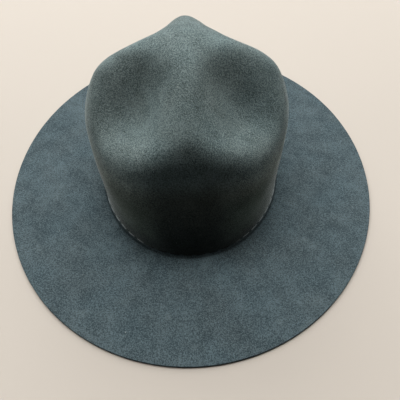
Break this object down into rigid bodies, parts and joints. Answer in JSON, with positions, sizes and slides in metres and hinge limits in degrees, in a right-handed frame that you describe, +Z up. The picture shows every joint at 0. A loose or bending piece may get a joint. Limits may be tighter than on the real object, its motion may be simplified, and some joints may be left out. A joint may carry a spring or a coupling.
{
  "type": "campaign hat",
  "caption": "Felt hat with a tall crown pinched into dents, a broad flat brim and a leather sweatband inside.",
  "frame": {"origin": "middle of the brim's underside, on the surface that the hat rests on", "axes": "+Z up, -Y towards the front of the hat, +X to the right as seen from the front"},
  "size_m": [0.338, 0.378, 0.144],
  "materials": {
    "felt": "matte blue-grey felt with a short nap",
    "sweatband_leather": "plain brown leather"
  },
  "bodies": {
    "root": {"felt_body": "felt", "sweatband": "sweatband_leather"}
  },
  "joints": []
}
